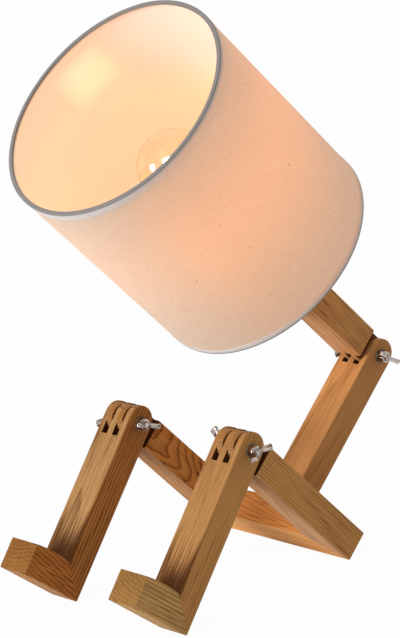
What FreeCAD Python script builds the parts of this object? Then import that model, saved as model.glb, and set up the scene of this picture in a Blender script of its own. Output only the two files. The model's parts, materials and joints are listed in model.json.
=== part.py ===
import FreeCAD, Part
import math
import os
from FreeCAD import Vector

# Wooden desk lamp shaped like a small seated figure, in millimetres.
# +X is the figure's left, -Y is where its feet point, +Z is up. The origin
# is on the table, in the middle of the lamp's bounding box.
# Two thighs and a seat bar make a mitred U. A post stands on the seat bar,
# and a neck of the same bar stock carries the lampholder and a drum shade.
# The knees and the joint at the top of the post are five-finger knuckles,
# each clamped by one wing bolt and one wing nut.

# Bar stock
BAR_W = 23.3
BAR_D = 19.5
EASE = 1.0

# Figure
SEAT_W = 121.5
THIGH_L = 116.5
SHIN_L = 114.5
FOOT_L = 48.0
FOOT_CROWN = 0.8
TORSO_L = 113.0
NECK_L = 115.0

# Pose of the figure, in degrees above or below the level
THIGH_TILT = 48.5
NECK_TILT = 48.2

# Knuckles: fingers of equal width with side play, whose round ends are struck
# from a point a little past the bolt. Slots and shoulders are deep enough to
# fold by the given degrees from the figure's pose.
FINGERS = 5
FINGER_PLAY = 0.1
KNUCKLE_NOSE = 1.3
KNUCKLE_CLEAR = 0.4
KNEE_FOLD = 6.0
NECK_FOLD = 14.0
NECK_REVEAL = 2.7

# Clamping hardware
BOLT_D = 4.0
HOLE_PLAY = 0.08
BOLT_TAIL = 1.6
BOLT_POINT = 0.4
WASHER_RIM = 2.5
WASHER_T = 0.8
HUB_WALL = 2.0
HUB_TOP_WALL = 1.5
HUB_H = 4.6
WING_SPAN = 20.0
WING_H = 10.5
WING_T = 2.2
WING_EASE = 0.66
EAR_ROOT_R = 2.0
EAR_ROOT_H = 2.8
EAR_TIP_R = 2.6
NUT_TURNS = {"left_knee": 12.0, "right_knee": -20.0, "neck": -35.0}
BOLT_TURNS = {"left_knee": 82.0, "right_knee": 27.0, "neck": 10.0}

# Dowels in the glued joints
SEAT_DOWEL_D = 6.0
SEAT_DOWEL_L = 24.0
TORSO_DOWEL_D = 6.0
TORSO_DOWEL_L = 30.0
TORSO_DOWEL_GAP = 11.0
TORSO_DOWEL_IN_SEAT = 12.0
FOOT_DOWEL_D = 5.0
FOOT_DOWEL_L = 20.0
DOWEL_PLAY = 0.05
HOLE_END_PLAY = 0.5

# Cable way through the neck
NIPPLE_D = 10.0
NIPPLE_WALL = 1.5
NIPPLE_IN_NECK = 11.0
NIPPLE_IN_CAP = 2.0
NIPPLE_PLAY = 0.05
CABLE_BORE = 8.0
INLET_BACK = 25.0
GROMMET_WALL = 1.0
GROMMET_LIP = 2.0
GROMMET_LIP_T = 1.5
LOCKNUT_WALL = 2.5
LOCKNUT_T = 3.0

# Lampholder, measured along the neck from its front end
HOLDER_CAP_L = 24.0
HOLDER_CAP_LAP = 1.75
HOLDER_DOME_L = 13.2
HOLDER_DOME_BOW = 3.3
HOLDER_BOSS_RIM = 3.0
HOLDER_THREAD_WALL = 1.6
HOLDER_FLANGE_RIM = 2.0
HOLDER_FLANGE_T = 3.0
HOLDER_WALL = 2.2
SKIRT_D = 39.5
SKIRT_L = 34.0
SKIRT_SEAT = 3.5
SKIRT_LIP_T = 2.0
SKIRT_LIP_EASE = 1.0
MOUTH_PLAY = 0.5
THREAD_PLAY = 0.1
SHELL_WALL = 0.5
SHELL_PLAY = 0.4
SHELL_L = 19.0
SHELL_TO_LIP = 1.0
BLOCK_PLAY = 0.35
BLOCK_T = 9.0
CONTACT_L = 10.0
CONTACT_W = 5.0
CONTACT_T = 0.8
CONTACT_BUMP_D = 4.0
CONTACT_RISE = 3.4
SCREW_D = 3.0
SCREW_PLAY = 0.1
SCREW_SHORT = 0.5
SCREW_HEAD_D = 5.6
SCREW_HEAD_T = 2.2
SCREW_SLOT_W = 0.8
SCREW_SLOT_T = 0.8
SCREW_OFFSET = 8.6
COLLAR_T = 2.8
COLLAR_LIP = 3.0
COLLAR_WALL = 3.25
COLLAR_L = 8.5
COLLAR_EASE = 0.6
COLLAR_NOTCHES = 12
COLLAR_NOTCH_D = 3.0
COLLAR_NOTCH_OUT = 0.5

# Bulb, a 45 mm golf-ball globe on a 27 mm screw cap
GLOBE_D = 46.5
GLASS_T = 0.8
GLASS_STEP = 0.4
GLASS_NECK_L = 30.0
CAP_D = 26.2
CAP_WALL = 0.7
CAP_L = 18.0
CAP_INSULATOR_L = 5.5
CAP_INSULATOR_SLOPE = 1.5
CAP_BUTTON_D = 9.0
CAP_BUTTON_L = 1.5
CAP_BUTTON_EASE = 0.6
BUTTON_GAP = 0.3
STEM_D = 4.4
STEM_PLAY = 0.15
STEM_FOOT_L = 2.0
STEM_RIM_T = 0.5
STEM_FLARE_L = 6.0
STEM_FLARE_BOW = 2.4
STEM_SHORT = 9.0
LEAD_D = 0.8
LEAD_ROOT = 1.2
FILAMENT_D = 1.2
FILAMENT_SPAN = 22.0
FILAMENT_AHEAD = 1.0
FILAMENT_RISE = 3.0

# Drum shade, measured along the neck from the neck joint's axis
SHADE_START = 122.8
SHADE_L = 153.0
SHADE_REAR_D = 149.0
SHADE_FRONT_D = 150.0
SHADE_T = 1.0
RIM_WIRE_D = 2.2
TRIM_T = 0.4
TRIM_BAND = 5.5
TRIM_INSIDE = 4.0
SPIDER_ARMS = 3
SPIDER_WIRE_D = 2.4
SPIDER_HUB_RIM = 3.5
SPIDER_HUB_T = 1.4
SPIDER_HUB_PLAY = 0.3
SPIDER_FIRST_ARM = 90.0
COLLAR_ROOM = 1.0
SHADE_PLAY = 0.1

SIDES = {"left": 1.0, "right": -1.0}
X_AXIS = Vector(1, 0, 0)
Y_AXIS = Vector(0, 1, 0)
Z_AXIS = Vector(0, 0, 1)
ORIGIN = Vector(0, 0, 0)

# Places in the side plane that follow from the sizes and the two tilts.
# The seat bar's lower back edge and both heels touch the table.
thigh_rad = math.radians(THIGH_TILT)
neck_rad = math.radians(NECK_TILT)
finger_w = BAR_W / FINGERS
knee_x = (SEAT_W - BAR_W) / 2
seat_centre = THIGH_L - BAR_W / 2
knee_z = (THIGH_L - EASE) * math.sin(thigh_rad) + (BAR_D / 2 - EASE) * math.cos(thigh_rad) + EASE
heel_reach = math.hypot(SHIN_L - EASE, BAR_D / 2 - EASE)
heel_lean = math.atan2(BAR_D / 2 - EASE, SHIN_L - EASE)
shin_rad = heel_lean + math.acos((knee_z - EASE) / heel_reach)
shin_lean = math.degrees(shin_rad)

# The direction of each arm, as the angle of its own +Y axis above world +Y
thigh_turn = -THIGH_TILT
shin_turn = -90.0 - shin_lean
torso_turn = -90.0 - THIGH_TILT
neck_turn = 180.0 - NECK_TILT


def fold_room(opening):
    """How far from its axis a bar must stop to let the other fold to an angle."""
    return max(BAR_D / 2 / math.tan(math.radians(opening) / 2), BAR_D / 2 + KNUCKLE_NOSE) + KNUCKLE_CLEAR


knee_room = fold_room(thigh_turn - shin_turn - KNEE_FOLD)
neck_room = fold_room(360.0 - (neck_turn - torso_turn) - NECK_FOLD)

# Diameters that follow from what they fit
washer_d = BOLT_D + 2 * WASHER_RIM
holder_cap_d = SKIRT_D + 2 * HOLDER_CAP_LAP
holder_flange_d = holder_cap_d + 2 * HOLDER_FLANGE_RIM
block_d = SKIRT_D - 2 * HOLDER_WALL - 2 * BLOCK_PLAY
shell_d = CAP_D + 2 * SHELL_PLAY + 2 * SHELL_WALL
glass_neck_d = CAP_D - 2 * GLASS_STEP
collar_neck_d = SKIRT_D + 2 * COLLAR_WALL
collar_d = collar_neck_d + 2 * COLLAR_LIP

# Depth of the lamp from toe to the back of the neck joint, which sets the origin
top_from_knee = (seat_centre * math.cos(thigh_rad)
                 + (TORSO_L + BAR_D / 2) * math.sin(thigh_rad))
top_above_knee = (-seat_centre * math.sin(thigh_rad)
                  + (TORSO_L + BAR_D / 2) * math.cos(thigh_rad))
toe_before_knee = SHIN_L * math.sin(shin_rad) + (FOOT_L - BAR_D / 2) * math.cos(shin_rad)
neck_behind = BAR_D / 2 + KNUCKLE_NOSE * math.sin(thigh_rad)
knee_y = (toe_before_knee - top_from_knee - neck_behind) / 2
knee = Vector(0, knee_y, knee_z)
neck_pivot = Vector(0, knee_y + top_from_knee, knee_z + top_above_knee)

# Stations along the neck
holder_start = NECK_L + LOCKNUT_T
flange_front = holder_start + HOLDER_CAP_L + HOLDER_FLANGE_T
collar_start = flange_front + SPIDER_HUB_T
skirt_start = flange_front - SKIRT_SEAT
skirt_end = skirt_start + SKIRT_L
shell_end = skirt_end - SKIRT_LIP_T - SHELL_TO_LIP
shell_start = shell_end - SHELL_L
block_start = shell_start - BLOCK_T
button_tip = shell_start + CONTACT_RISE + BUTTON_GAP
cap_start = button_tip + CAP_BUTTON_L + CAP_INSULATOR_L
cap_end = cap_start + CAP_L
globe_centre = cap_end + GLASS_NECK_L
inlet_at = NECK_L - INLET_BACK

nodes = {}


def at(shape, turn, pivot, x=0.0):
    """Turn a shape about X and move its own origin to a pivot."""
    placed = shape.copy()
    placed.rotate(ORIGIN, X_AXIS, turn)
    placed.translate(pivot + Vector(x, 0, 0))
    return placed


def rod(diameter, start, end):
    """A plain cylinder between two points."""
    return Part.makeCylinder(diameter / 2, (end - start).Length, start, end - start)


def turned(points):
    """A body of revolution about Y from (radius, station) points and arcs.

    A point of four numbers is an arc's middle and end.
    """
    edges = []
    last = Vector(points[0][0], points[0][1], 0)
    for point in list(points[1:]) + [points[0]]:
        end = Vector(point[-2], point[-1], 0)
        if len(point) == 4:
            middle = Vector(point[0], point[1], 0)
            edges.append(Part.Arc(last, middle, end).toShape())
        elif (end - last).Length > 1e-6:
            edges.append(Part.LineSegment(last, end).toShape())
        last = end
    return Part.Face(Part.Wire(edges)).revolve(ORIGIN, Y_AXIS, 360)


def bar(start, end, width=BAR_W, depth=BAR_D):
    """Straight bar stock along Y with its four long edges eased."""
    block = Part.makeBox(width, end - start, depth, Vector(-width / 2, start, -depth / 2))
    long_edges = [edge for edge in block.Edges if abs(edge.tangentAt(edge.FirstParameter).y) > 0.99]
    return block.makeFillet(EASE, long_edges)


def arm(length):
    """A bar from a joint's axis, with its joint end rounded just past that axis."""
    disc = rod(BAR_D, Vector(-BAR_W / 2, -KNUCKLE_NOSE, 0), Vector(BAR_W / 2, -KNUCKLE_NOSE, 0))
    rims = [edge for edge in disc.Edges if isinstance(edge.Curve, Part.Circle)]
    hole = rod(BOLT_D + 2 * HOLE_PLAY, Vector(-BAR_W, 0, 0), Vector(BAR_W, 0, 0))
    body = bar(-KNUCKLE_NOSE, length).fuse(disc.makeFillet(EASE, rims)).removeSplitter()
    return body.cut(hole)


def finger_space(index, play, depth):
    """The room of one finger of a knuckle, cut to a depth past the axis."""
    low = -BAR_W / 2 + index * finger_w - play
    if index == 0:
        low -= EASE
    width = finger_w + 2 * play + (EASE if index in (0, FINGERS - 1) else 0)
    return Part.makeBox(width, depth + BAR_D, 2 * BAR_D, Vector(low, -BAR_D, -BAR_D))


def outer_fingers(body, depth):
    """Slots for the other piece's tongues, which leave the outer fingers."""
    for index in range(1, FINGERS, 2):
        body = body.cut(finger_space(index, 0, depth))
    return body


def inner_tongues(body, shoulder):
    """Tongues between the other piece's fingers, with a square shoulder."""
    for index in range(0, FINGERS, 2):
        body = body.cut(finger_space(index, FINGER_PLAY, shoulder))
    return body


def corner_round(length):
    """What easing takes off a square corner: along X, corner at the origin.

    The material lies towards -Y and -Z.
    """
    square = Part.makeBox(length, 2 * EASE, 2 * EASE, Vector(-length / 2, -EASE, -EASE))
    kept = rod(2 * EASE, Vector(-length / 2, -EASE, -EASE), Vector(length / 2, -EASE, -EASE))
    return square.cut(kept)


def seat_corner_rounds():
    """What easing takes off the outer corners of the mitred U at the seat."""
    tools = []
    for turn in (0, -90):
        back = corner_round(2 * SEAT_W)
        back.rotate(ORIGIN, X_AXIS, turn)
        back.translate(Vector(0, THIGH_L, BAR_D / 2 if turn == 0 else -BAR_D / 2))
        tools.append(back)
        for way in (90, -90):
            side = corner_round(2 * THIGH_L)
            side.rotate(ORIGIN, X_AXIS, turn)
            side.rotate(ORIGIN, Z_AXIS, way)
            side.translate(Vector(-SEAT_W / 2 if way == 90 else SEAT_W / 2, THIGH_L,
                                  BAR_D / 2 if turn == 0 else -BAR_D / 2))
            tools.append(side)
    for turn, x in ((0, SEAT_W / 2), (90, -SEAT_W / 2)):
        upright = corner_round(2 * BAR_D)
        upright.rotate(ORIGIN, Y_AXIS, 90)
        upright.rotate(ORIGIN, Z_AXIS, turn)
        upright.translate(Vector(x, THIGH_L, 0))
        tools.append(upright)
    return tools


def half_space(point, normal, size=400.0):
    """A large block that starts at a plane and lies on its normal's side."""
    block = Part.makeBox(size, size, size, Vector(-size / 2, -size / 2, 0))
    block.rotate(ORIGIN, Z_AXIS.cross(normal), math.degrees(Z_AXIS.getAngle(normal)))
    block.translate(point)
    return block


def make_thigh(side):
    """One side of the U: tongues at the knee, a mitre at the seat."""
    sign = SIDES[side]
    body = inner_tongues(arm(THIGH_L), knee_room)
    inner = Vector(-sign * BAR_W / 2, THIGH_L - BAR_W, 0)
    body = body.cut(half_space(inner, Vector(-sign, 1, 0)))
    centre = Vector(0, seat_centre, 0)
    reach = Vector(-sign, 1, 0).normalize() * (SEAT_DOWEL_L / 2 + HOLE_END_PLAY)
    body = body.cut(rod(SEAT_DOWEL_D + 2 * DOWEL_PLAY, centre - reach, centre + reach))
    for tool in seat_corner_rounds():
        tool.translate(Vector(-sign * knee_x, 0, 0))
        body = body.cut(tool)
    return body


def make_seat():
    """The bar across the back of the U, mitred at both ends."""
    body = bar(-SEAT_W / 2, SEAT_W / 2)
    body.rotate(ORIGIN, Z_AXIS, -90)
    body.translate(Vector(0, seat_centre, 0))
    for sign in SIDES.values():
        inner = Vector(sign * (SEAT_W / 2 - BAR_W), THIGH_L - BAR_W, 0)
        body = body.cut(half_space(inner, Vector(sign, -1, 0)))
        centre = Vector(sign * knee_x, seat_centre, 0)
        reach = Vector(-sign, 1, 0).normalize() * (SEAT_DOWEL_L / 2 + HOLE_END_PLAY)
        body = body.cut(rod(SEAT_DOWEL_D + 2 * DOWEL_PLAY, centre - reach, centre + reach))
    top = BAR_D / 2
    for sign in SIDES.values():
        x = sign * TORSO_DOWEL_GAP / 2
        bottom = Vector(x, seat_centre, top - TORSO_DOWEL_IN_SEAT - HOLE_END_PLAY)
        body = body.cut(rod(TORSO_DOWEL_D + 2 * DOWEL_PLAY, bottom, Vector(x, seat_centre, BAR_D)))
    for tool in seat_corner_rounds():
        body = body.cut(tool)
    return body


def make_seat_dowels():
    """One dowel square through each mitre of the U."""
    dowels = []
    for sign in SIDES.values():
        centre = Vector(sign * knee_x, seat_centre, 0)
        reach = Vector(-sign, 1, 0).normalize() * (SEAT_DOWEL_L / 2)
        dowels.append(rod(SEAT_DOWEL_D, centre - reach, centre + reach))
    return Part.makeCompound(dowels)


def torso_dowel_room(play, end_play):
    """The two dowels between post and seat bar, along the post's own Y."""
    top = TORSO_L - (TORSO_DOWEL_L - TORSO_DOWEL_IN_SEAT) - end_play
    bottom = TORSO_L + TORSO_DOWEL_IN_SEAT + end_play
    pegs = []
    for sign in SIDES.values():
        x = sign * TORSO_DOWEL_GAP / 2
        pegs.append(rod(TORSO_DOWEL_D + 2 * play, Vector(x, top, 0), Vector(x, bottom, 0)))
    return Part.makeCompound(pegs)


def make_torso():
    """The post: outer fingers at the neck joint, a square foot on the seat."""
    body = outer_fingers(arm(TORSO_L), neck_room)
    return body.cut(torso_dowel_room(DOWEL_PLAY, HOLE_END_PLAY))


def foot_dowel_room(play, end_play):
    """The dowel square through the mitre between shin and foot."""
    centre = Vector(0, SHIN_L - BAR_D / 2, 0)
    reach = Vector(0, 1, -1).normalize() * (FOOT_DOWEL_L / 2 + end_play)
    return rod(FOOT_DOWEL_D + 2 * play, centre - reach, centre + reach)


def heel_round():
    """What easing takes off the heel edge of shin and foot."""
    tool = corner_round(2 * BAR_W)
    tool.translate(Vector(0, SHIN_L, BAR_D / 2))
    return tool


def make_shin():
    """Outer fingers at the knee, and a mitre at the heel."""
    body = outer_fingers(arm(SHIN_L), knee_room)
    inner = Vector(0, SHIN_L - BAR_D, -BAR_D / 2)
    body = body.cut(half_space(inner, Vector(0, 1, -1)))
    body = body.cut(foot_dowel_room(DOWEL_PLAY, HOLE_END_PLAY))
    return body.cut(heel_round())


def make_foot():
    """A short block with a slightly crowned top, mitred to the shin.

    It points to the shin's own -Z, which is forwards.
    """
    heel = BAR_D / 2
    toe = heel - FOOT_L
    top = SHIN_L - BAR_D
    over = BAR_D
    crown_at = (toe - BAR_D / 2) / 2
    sole_a = Vector(-BAR_W / 2, SHIN_L, heel + over)
    sole_b = Vector(-BAR_W / 2, SHIN_L, toe)
    top_b = Vector(-BAR_W / 2, top, toe)
    crown = Vector(-BAR_W / 2, top - FOOT_CROWN, crown_at)
    top_a = Vector(-BAR_W / 2, top, -BAR_D / 2)
    top_far = Vector(-BAR_W / 2, top, heel + over)
    edges = [Part.LineSegment(sole_a, sole_b).toShape(), Part.LineSegment(sole_b, top_b).toShape(),
             Part.Arc(top_b, crown, top_a).toShape(), Part.LineSegment(top_a, top_far).toShape(),
             Part.LineSegment(top_far, sole_a).toShape()]
    block = Part.Face(Part.Wire(edges)).extrude(Vector(BAR_W, 0, 0))
    soft = [edge for edge in block.Edges
            if abs(abs(edge.CenterOfMass.x) - BAR_W / 2) < 1e-6
            and abs(edge.CenterOfMass.z - toe) > 1e-6
            and edge.CenterOfMass.z < heel + over - 1e-6
            and abs(edge.CenterOfMass.y - SHIN_L) < 1e-6]
    block = block.makeFillet(EASE, soft)
    inner = Vector(0, top, -BAR_D / 2)
    block = block.cut(half_space(inner, Vector(0, -1, 1)))
    block = block.cut(foot_dowel_room(DOWEL_PLAY, HOLE_END_PLAY))
    return block.cut(heel_round())


def wing_ear():
    """One ear: a flat tapered tongue that leans out from the hub.

    The hub's axis is X, its seat is at x = 0, and the ear leans to +Y.
    """
    root = Vector(EAR_ROOT_H, EAR_ROOT_R, 0)
    tip = Vector(WING_H - EAR_TIP_R, WING_SPAN / 2 - EAR_TIP_R, 0)
    lean = math.atan2(tip.y - root.y, tip.x - root.x)
    spread = math.acos((EAR_ROOT_R - EAR_TIP_R) / (tip - root).Length)

    def rim(centre, radius, angle):
        return centre + Vector(math.cos(angle), math.sin(angle), 0) * radius

    root_a = rim(root, EAR_ROOT_R, lean + spread)
    root_b = rim(root, EAR_ROOT_R, lean - spread)
    tip_a = rim(tip, EAR_TIP_R, lean + spread)
    tip_b = rim(tip, EAR_TIP_R, lean - spread)
    edges = [Part.Arc(root_a, rim(root, EAR_ROOT_R, lean + math.pi), root_b).toShape(),
             Part.LineSegment(root_b, tip_b).toShape(),
             Part.Arc(tip_b, rim(tip, EAR_TIP_R, lean), tip_a).toShape(),
             Part.LineSegment(tip_a, root_a).toShape()]
    plate = Part.Face(Part.Wire(edges)).extrude(Vector(0, 0, WING_T))
    plate.translate(Vector(0, 0, -WING_T / 2))
    return plate.makeFillet(WING_EASE, [edge for edge in plate.Edges
                                        if abs(abs(edge.CenterOfMass.z) - WING_T / 2) < 1e-6])


def wing_head(turn):
    """A tapered hub with two ears, on the X axis, turned about it."""
    hub = Part.makeCone(BOLT_D / 2 + HUB_WALL, BOLT_D / 2 + HUB_TOP_WALL, HUB_H, ORIGIN, X_AXIS)
    ear = wing_ear()
    other = ear.copy()
    other.rotate(ORIGIN, X_AXIS, 180)
    head = hub.fuse([ear, other])
    head.rotate(ORIGIN, X_AXIS, turn)
    return head


def make_wing_nut(turn):
    """The nut, threaded on the bolt outside the +X washer."""
    nut = wing_head(turn)
    nut = nut.cut(rod(BOLT_D + 2 * HOLE_PLAY, Vector(-1, 0, 0), Vector(2 * WING_H, 0, 0)))
    nut.translate(Vector(BAR_W / 2 + WASHER_T, 0, 0))
    return nut


def make_wing_bolt(turn):
    """The bolt, whose winged head is on the -X side of the joint."""
    head = wing_head(turn)
    head = head.mirror(ORIGIN, X_AXIS)
    head.translate(Vector(-BAR_W / 2 - WASHER_T, 0, 0))
    tail = BAR_W / 2 + WASHER_T + HUB_H + BOLT_TAIL
    shank = rod(BOLT_D, Vector(-BAR_W / 2 - WASHER_T - HUB_H / 2, 0, 0), Vector(tail, 0, 0))
    ends = [edge for edge in shank.Edges
            if isinstance(edge.Curve, Part.Circle) and edge.CenterOfMass.x > 0]
    return head.fuse(shank.makeChamfer(BOLT_POINT, ends))


def make_washers():
    """A flat washer on each side of the joint."""
    rings = []
    for start in (-BAR_W / 2 - WASHER_T, BAR_W / 2):
        ring = rod(washer_d, Vector(start, 0, 0), Vector(start + WASHER_T, 0, 0))
        ring = ring.cut(rod(BOLT_D + 4 * HOLE_PLAY, Vector(-BAR_W, 0, 0), Vector(BAR_W, 0, 0)))
        rings.append(ring)
    return Part.makeCompound(rings)


def make_neck():
    """The neck: tongues at the joint, and the cable way at the other end."""
    body = inner_tongues(arm(NECK_L), neck_room + NECK_REVEAL)
    nipple_seat = NECK_L - NIPPLE_IN_NECK
    body = body.cut(rod(NIPPLE_D + 2 * NIPPLE_PLAY, Vector(0, nipple_seat, 0), Vector(0, NECK_L + 1, 0)))
    body = body.cut(rod(CABLE_BORE, Vector(0, inlet_at - CABLE_BORE / 2, 0), Vector(0, NECK_L, 0)))
    inlet = rod(CABLE_BORE, Vector(0, inlet_at, 0), Vector(0, inlet_at, -BAR_D))
    return body.cut(inlet)


def make_grommet():
    """A soft bush where the cable enters the back of the neck."""
    face = -BAR_D / 2
    inner = -CABLE_BORE / 2 - HOLE_END_PLAY
    sleeve = rod(CABLE_BORE - 2 * DOWEL_PLAY, Vector(0, inlet_at, inner), Vector(0, inlet_at, face))
    outside = Vector(0, inlet_at, face - GROMMET_LIP_T)
    lip = rod(CABLE_BORE + 2 * GROMMET_LIP, Vector(0, inlet_at, face), outside)
    rims = [edge for edge in lip.Edges
            if isinstance(edge.Curve, Part.Circle) and edge.CenterOfMass.z < face - GROMMET_LIP_T / 2]
    lip = lip.makeFillet(GROMMET_LIP_T / 2, rims)
    hole = rod(CABLE_BORE - 2 * GROMMET_WALL, Vector(0, inlet_at, 0), Vector(0, inlet_at, 2 * face))
    return sleeve.fuse(lip).cut(hole)


def make_nipple():
    """The threaded tube that joins neck and lampholder."""
    start = Vector(0, NECK_L - NIPPLE_IN_NECK + NIPPLE_PLAY, 0)
    end = Vector(0, holder_start + HOLDER_WALL + NIPPLE_IN_CAP, 0)
    return rod(NIPPLE_D, start, end).cut(rod(NIPPLE_D - 2 * NIPPLE_WALL, start - Y_AXIS, end + Y_AXIS))


def make_locknut():
    """The thin hexagon nut on the nipple, against the end of the neck."""
    corner = (NIPPLE_D / 2 + LOCKNUT_WALL) / math.cos(math.pi / 6)
    points = [Vector(corner * math.cos(math.radians(60 * k)), NECK_L, corner * math.sin(math.radians(60 * k)))
              for k in range(7)]
    body = Part.Face(Part.makePolygon(points)).extrude(Vector(0, LOCKNUT_T, 0))
    return body.cut(rod(NIPPLE_D + 2 * NIPPLE_PLAY, Vector(0, NECK_L - 1, 0), Vector(0, holder_start + 1, 0)))


def bowed(start, end, bow):
    """The middle of an arc between two points that bows out behind its chord."""
    out, along = end[0] - start[0], end[1] - start[1]
    length = math.hypot(out, along)
    return ((start[0] + end[0]) / 2 + bow * along / length, (start[1] + end[1]) / 2 - bow * out / length)


def make_holder_cap():
    """The domed back of the lampholder, with the flange that carries the shade."""
    nipple_r = NIPPLE_D / 2 + NIPPLE_PLAY
    outer = holder_cap_d / 2
    inner = outer - HOLDER_WALL - HOLDER_THREAD_WALL
    rim = holder_flange_d / 2
    seat_r = SKIRT_D / 2 + THREAD_PLAY
    floor = holder_start + HOLDER_WALL
    shoulder = holder_start + HOLDER_CAP_L
    dome = holder_start + HOLDER_DOME_L
    boss = (nipple_r + HOLDER_BOSS_RIM, holder_start)
    inner_boss = (nipple_r + HOLDER_BOSS_RIM - THREAD_PLAY, floor)
    dome_out = bowed(boss, (outer, dome), HOLDER_DOME_BOW) + (outer, dome)
    dome_in = bowed(inner_boss, (inner, dome), HOLDER_DOME_BOW) + inner_boss
    return turned([(nipple_r, holder_start), boss, dome_out, (outer, shoulder), (rim, shoulder),
                   (rim, flange_front), (seat_r, flange_front), (seat_r, skirt_start),
                   (inner, skirt_start), (inner, dome), dome_in, (nipple_r, floor)])


def make_holder_skirt():
    """The screwed front of the lampholder, with a lip round the bulb's cap."""
    outer = SKIRT_D / 2
    inner = outer - HOLDER_WALL
    mouth = shell_d / 2 + MOUTH_PLAY
    start = skirt_start + THREAD_PLAY
    return turned([(inner, start), (outer, start), (outer, skirt_end - SKIRT_LIP_EASE),
                   (outer - SKIRT_LIP_EASE, skirt_end), (mouth, skirt_end), (mouth, skirt_end - SKIRT_LIP_T),
                   (inner, skirt_end - SKIRT_LIP_T)])


def make_screw_shell():
    """The metal shell that the bulb's cap screws into."""
    outer = shell_d / 2
    return turned([(outer - SHELL_WALL, shell_start), (outer, shell_start),
                   (outer, shell_end), (outer - SHELL_WALL, shell_end)])


def make_contact_block():
    """The insulating block behind the shell, with a seat for the contacts."""
    block = rod(block_d, Vector(0, block_start, 0), Vector(0, shell_start, 0))
    for sign in SIDES.values():
        way = Vector(sign * SCREW_OFFSET, 0, 0)
        block = block.cut(rod(SCREW_D + 2 * SCREW_PLAY, way, way + Y_AXIS * skirt_end))
    return block


def make_centre_contact():
    """The sprung strip under the bulb's centre button."""
    strip = Part.makeBox(CONTACT_L, CONTACT_T, CONTACT_W, Vector(-CONTACT_L / 2, shell_start, -CONTACT_W / 2))
    return strip.fuse(rod(CONTACT_BUMP_D, Y_AXIS * shell_start, Y_AXIS * (shell_start + CONTACT_RISE)))


def make_terminal_screws():
    """The two screws that hold the cable's cores, from behind the block."""
    screws = []
    for sign in SIDES.values():
        x = sign * SCREW_OFFSET
        seat = Vector(x, block_start, 0)
        shank = rod(SCREW_D, seat, Vector(x, shell_start - SCREW_SHORT, 0))
        head = rod(SCREW_HEAD_D, Vector(x, block_start - SCREW_HEAD_T, 0), seat)
        slot_floor = block_start - SCREW_HEAD_T + SCREW_SLOT_T
        slot = Part.makeBox(2 * SCREW_HEAD_D, SCREW_HEAD_T, SCREW_SLOT_W)
        slot.translate(Vector(x - SCREW_HEAD_D, slot_floor - SCREW_HEAD_T, -SCREW_SLOT_W / 2))
        screws.append(shank.fuse(head).cut(slot))
    return Part.makeCompound(screws)


def make_shade_collar():
    """The ring that screws down on the skirt and clamps the shade's hub."""
    inner = SKIRT_D / 2 + THREAD_PLAY
    neck = collar_neck_d / 2
    rim = collar_d / 2
    step = collar_start + COLLAR_T
    end = collar_start + COLLAR_L
    ring = turned([(inner, collar_start), (rim, collar_start), (rim, step - COLLAR_EASE),
                   (rim - COLLAR_EASE, step), (neck, step), (neck, end - COLLAR_EASE),
                   (neck - COLLAR_EASE, end), (inner, end)])
    for k in range(COLLAR_NOTCHES):
        angle = 2 * math.pi * k / COLLAR_NOTCHES
        centre = Vector(math.cos(angle), 0, math.sin(angle)) * (rim + COLLAR_NOTCH_OUT)
        ring = ring.cut(rod(COLLAR_NOTCH_D, centre, centre + Y_AXIS * skirt_end))
    return ring


def shade_radius(station):
    """The shade's outer radius at a distance from its rear edge."""
    return (SHADE_REAR_D + (SHADE_FRONT_D - SHADE_REAR_D) * station / SHADE_L) / 2


def make_shade_skin():
    """The drum: linen on a stiff liner, open at both ends."""
    rear = SHADE_START
    front = SHADE_START + SHADE_L
    return turned([(shade_radius(0) - SHADE_T, rear), (shade_radius(0), rear),
                   (shade_radius(SHADE_L), front), (shade_radius(SHADE_L) - SHADE_T, front)])


def rim_wire(station):
    """A wire ring just inside one edge of the shade."""
    centre = shade_radius(station) - SHADE_T - SHADE_PLAY - RIM_WIRE_D / 2
    inset = RIM_WIRE_D / 2 if station < SHADE_L / 2 else -RIM_WIRE_D / 2
    return Part.makeTorus(centre, RIM_WIRE_D / 2, Vector(0, SHADE_START + station + inset, 0), Y_AXIS)


def make_trim(station):
    """The tape folded over one edge of the shade, round skin and wire."""
    edge = SHADE_START + station
    way = 1.0 if station < SHADE_L / 2 else -1.0
    skin_out = shade_radius(station) + SHADE_PLAY
    skin_in = shade_radius(station) - SHADE_T
    wire_in = skin_in - 2 * SHADE_PLAY - RIM_WIRE_D
    outer_end = shade_radius(station + way * TRIM_BAND) + SHADE_PLAY
    fold = edge - way * SHADE_PLAY
    crest = fold - way * TRIM_T
    return turned([(outer_end, edge + way * TRIM_BAND), (outer_end + TRIM_T, edge + way * TRIM_BAND),
                   (skin_out + TRIM_T, fold), (skin_out, crest), (wire_in, crest),
                   (wire_in - TRIM_T, fold), (wire_in - TRIM_T, edge + way * TRIM_INSIDE),
                   (wire_in, edge + way * TRIM_INSIDE), (wire_in, fold), (skin_out, fold)])


def make_rear_trim():
    """The rear tape, notched where the arms pass to the ring."""
    trim = make_trim(0)
    for wire in spider_arms():
        trim = trim.cut(wire)
    return trim


def spider_arms():
    """The wires from the hub's edge out and back to the rear ring."""
    ring_r = shade_radius(0) - SHADE_T - SHADE_PLAY - RIM_WIRE_D / 2
    ring_y = SHADE_START + RIM_WIRE_D / 2
    wires = []
    for k in range(SPIDER_ARMS):
        angle = math.radians(SPIDER_FIRST_ARM + 360.0 * k / SPIDER_ARMS)
        out = Vector(math.cos(angle), 0, math.sin(angle))
        start = out * (holder_flange_d / 2 + SPIDER_WIRE_D / 2 + SHADE_PLAY) + Y_AXIS * flange_front
        wires.append(rod(SPIDER_WIRE_D, start, out * ring_r + Y_AXIS * ring_y))
    return wires


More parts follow.
